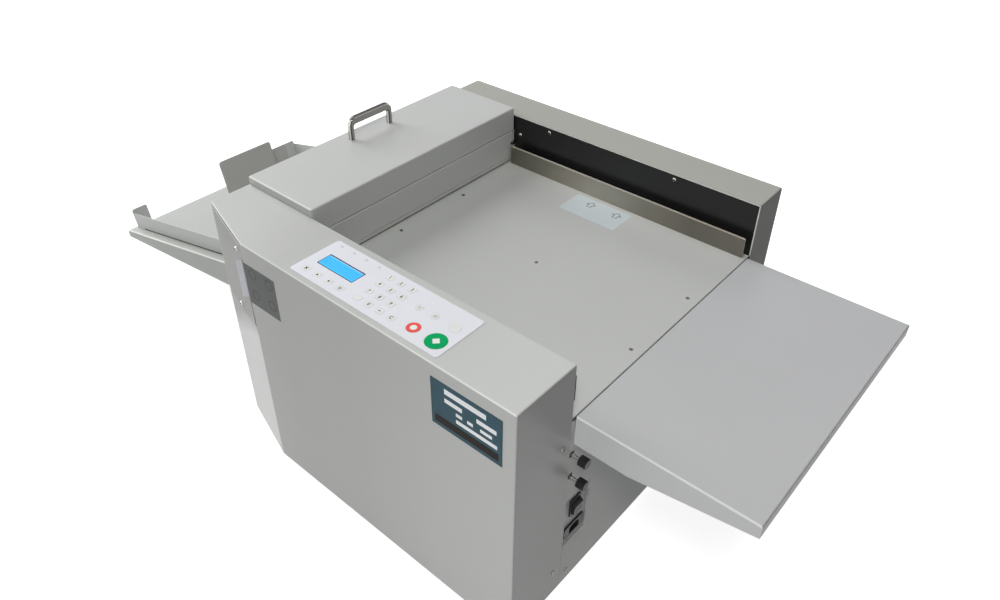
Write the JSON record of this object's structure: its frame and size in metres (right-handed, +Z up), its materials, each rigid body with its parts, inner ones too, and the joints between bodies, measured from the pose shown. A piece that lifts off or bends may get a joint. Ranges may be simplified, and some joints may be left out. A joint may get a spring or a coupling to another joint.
{
  "type": "paper creasing machine",
  "caption": "Bench-top paper creasing machine: feed table between sheet-metal housings, hinged cover over the blade, keypad, extension tray and sloping exit tray.",
  "frame": {"origin": "on the floor plane under the feet, below the middle of the bounding box of the machine with both trays", "axes": "+X towards the feed end with the extension tray, +Y from the control panel side to the rear, +Z up"},
  "size_m": [1.52, 0.694, 0.5336],
  "materials": {
    "warm_grey_paint": "fine-textured powder coat",
    "dark_grey_paint": "matt paint on bent sheet",
    "black_paint": "satin black paint",
    "stainless": "brushed along its length",
    "steel": "ground, bright",
    "chrome": "polished nickel plating",
    "bronze": "turned",
    "aluminium": "milled",
    "motor_black": "satin black",
    "roller_rubber": "ground rubber",
    "black_rubber": "moulded",
    "black_plastic": "moulded, fine grain",
    "overlay_film": "printed film",
    "start_green": "printed film",
    "stop_red": "printed film",
    "display_glass": "lit blue window",
    "board_green": "solder resist"
  },
  "bodies": {
    "machine": {"adjuster_block": "aluminium", "base_pan": "stainless", "control_board": "board_green", "control_overlay": "overlay_film", "corner_panel": "warm_grey_paint", "cover_hinge_pins": "steel", "crease_anvil": "steel", "crease_motor": "motor_black", "entry_beam": "warm_grey_paint", "exit_end_panel": "warm_grey_paint", "exit_tray": "warm_grey_paint", "extension_tray": "warm_grey_paint", "feed_belt": "black_rubber", "feed_end_panel": "warm_grey_paint", "feed_motor": "motor_black", "feed_table": "warm_grey_paint", "front_housing": "warm_grey_paint", "front_side_frame": "black_paint", "lcd_module": "display_glass", "machine_screws": "steel", "number_keys": "overlay_film", "paper_fence": "stainless", "power_inlet": "black_plastic", "power_supply": "aluminium", "power_switch": "black_plastic", "rear_housing": "warm_grey_paint", "rear_side_frame": "black_paint", "rubber_feet": "black_rubber", "shaft_bushes": "bronze", "sheet_sensor": "black_plastic", "table_rails": "stainless"},
    "cover": {"top_cover": "warm_grey_paint", "cover_handle": "chrome"},
    "lower_feed": {"lower_feed_roller": "roller_rubber"},
    "upper_feed": {"upper_feed_roller": "roller_rubber"},
    "lower_exit": {"lower_exit_roller": "roller_rubber"},
    "upper_exit": {"upper_exit_roller": "roller_rubber"},
    "motor_wheel": {"motor_pulley": "aluminium"},
    "crank": {"crank_shaft": "steel"},
    "blade": {"crease_blade": "steel", "blade_beam": "steel", "pull_bars": "steel"},
    "rocker": {"switch_rocker": "black_plastic"},
    "adjuster_a": {"adjuster_rod_upper": "steel", "adjuster_knob_upper": "black_plastic"},
    "adjuster_b": {"adjuster_rod_lower": "steel", "adjuster_knob_lower": "black_plastic"},
    "guide_front": {"exit_guide_front": "warm_grey_paint"},
    "guide_rear": {"exit_guide_rear": "warm_grey_paint"},
    "stop_tall": {"exit_stop_tall": "dark_grey_paint"},
    "stop_low": {"exit_stop_low": "dark_grey_paint"},
    "cancel_key_body": {"cancel_key": "overlay_film"},
    "up_key_body": {"up_key": "overlay_film"},
    "down_key_body": {"down_key": "overlay_film"},
    "menu_key_body": {"menu_key": "overlay_film"},
    "count_key_body": {"count_key": "overlay_film"},
    "mode_key_body": {"mode_key": "overlay_film"},
    "test_key_body": {"test_key": "overlay_film"},
    "stop_key_body": {"stop_key": "stop_red"},
    "start_key_body": {"start_key": "start_green"}
  },
  "joints": [
    {"name": "cover_hinge", "type": "hinge", "parent": "machine", "child": "cover", "pos_m": [-0.025, 0.01925, 0.4201], "axis": [0, 1, 0], "range_deg": [0, 80]},
    {"name": "lower_feed_spin", "type": "hinge", "parent": "machine", "child": "lower_feed", "pos_m": [-0.049, 0.01925, 0.363], "axis": [0, 1, 0], "continuous": true},
    {"name": "upper_feed_spin", "type": "hinge", "parent": "machine", "child": "upper_feed", "pos_m": [-0.049, 0.01925, 0.3903], "axis": [0, 1, 0], "continuous": true},
    {"name": "lower_exit_spin", "type": "hinge", "parent": "machine", "child": "lower_exit", "pos_m": [-0.154, 0.01925, 0.363], "axis": [0, 1, 0], "continuous": true},
    {"name": "upper_exit_spin", "type": "hinge", "parent": "machine", "child": "upper_exit", "pos_m": [-0.154, 0.01925, 0.3903], "axis": [0, 1, 0], "continuous": true},
    {"name": "motor_spin", "type": "hinge", "parent": "machine", "child": "motor_wheel", "pos_m": [-0.061, 0.291, 0.302], "axis": [0, 1, 0], "continuous": true},
    {"name": "crank_turn", "type": "hinge", "parent": "machine", "child": "crank", "pos_m": [-0.1015, 0.01925, 0.227], "axis": [0, 1, 0], "range_deg": [0, 180]},
    {"name": "blade_stroke", "type": "slide", "parent": "machine", "child": "blade", "axis": [0, 0, -1], "range_m": [0, 0.005]},
    {"name": "cancel_key_press", "type": "slide", "parent": "machine", "child": "cancel_key_body", "axis": [0, 0, -1], "range_m": [0, 0.0005], "stiffness_N_per_m": 1500, "springref_m": -0.0005},
    {"name": "up_key_press", "type": "slide", "parent": "machine", "child": "up_key_body", "axis": [0, 0, -1], "range_m": [0, 0.0005], "stiffness_N_per_m": 1500, "springref_m": -0.0005},
    {"name": "down_key_press", "type": "slide", "parent": "machine", "child": "down_key_body", "axis": [0, 0, -1], "range_m": [0, 0.0005], "stiffness_N_per_m": 1500, "springref_m": -0.0005},
    {"name": "menu_key_press", "type": "slide", "parent": "machine", "child": "menu_key_body", "axis": [0, 0, -1], "range_m": [0, 0.0005], "stiffness_N_per_m": 1500, "springref_m": -0.0005},
    {"name": "count_key_press", "type": "slide", "parent": "machine", "child": "count_key_body", "axis": [0, 0, -1], "range_m": [0, 0.0005], "stiffness_N_per_m": 1500, "springref_m": -0.0005},
    {"name": "mode_key_press", "type": "slide", "parent": "machine", "child": "mode_key_body", "axis": [0, 0, -1], "range_m": [0, 0.0005], "stiffness_N_per_m": 1500, "springref_m": -0.0005},
    {"name": "test_key_press", "type": "slide", "parent": "machine", "child": "test_key_body", "axis": [0, 0, -1], "range_m": [0, 0.0005], "stiffness_N_per_m": 1500, "springref_m": -0.0005},
    {"name": "stop_key_press", "type": "slide", "parent": "machine", "child": "stop_key_body", "axis": [0, 0, -1], "range_m": [0, 0.0005], "stiffness_N_per_m": 1500, "springref_m": -0.0005},
    {"name": "start_key_press", "type": "slide", "parent": "machine", "child": "start_key_body", "axis": [0, 0, -1], "range_m": [0, 0.0005], "stiffness_N_per_m": 1500, "springref_m": -0.0005},
    {"name": "rocker_tip", "type": "hinge", "parent": "machine", "child": "rocker", "pos_m": [0.49, -0.1984, 0.174], "axis": [0, 1, 0], "range_deg": [-16, 0]},
    {"name": "adjuster_a_turn", "type": "hinge", "parent": "machine", "child": "adjuster_a", "pos_m": [0.496, -0.224, 0.307], "axis": [1, 0, 0], "continuous": true},
    {"name": "adjuster_b_turn", "type": "hinge", "parent": "machine", "child": "adjuster_b", "pos_m": [0.496, -0.224, 0.262], "axis": [1, 0, 0], "continuous": true},
    {"name": "guide_front_slide", "type": "slide", "parent": "machine", "child": "guide_front", "axis": [0, 1, 0], "range_m": [0, 0.1]},
    {"name": "guide_rear_slide", "type": "slide", "parent": "machine", "child": "guide_rear", "axis": [0, -1, 0], "range_m": [0, 0.066]},
    {"name": "stop_tall_slide", "type": "slide", "parent": "machine", "child": "stop_tall", "axis": [-0.9709, 0, -0.2394], "range_m": [-0.25, 0]},
    {"name": "stop_low_slide", "type": "slide", "parent": "machine", "child": "stop_low", "axis": [-0.9709, 0, -0.2394], "range_m": [0, 0.07]}
  ],
  "couplings": [
    {"joint": "motor_spin", "follows": "lower_feed_spin", "ratio": 1},
    {"joint": "lower_exit_spin", "follows": "lower_feed_spin", "ratio": 1},
    {"joint": "upper_feed_spin", "follows": "lower_feed_spin", "ratio": -1.25},
    {"joint": "upper_exit_spin", "follows": "lower_feed_spin", "ratio": -1.25},
    {"joint": "crank_turn", "follows": "blade_stroke", "rad_per_m": 628.3}
  ]
}
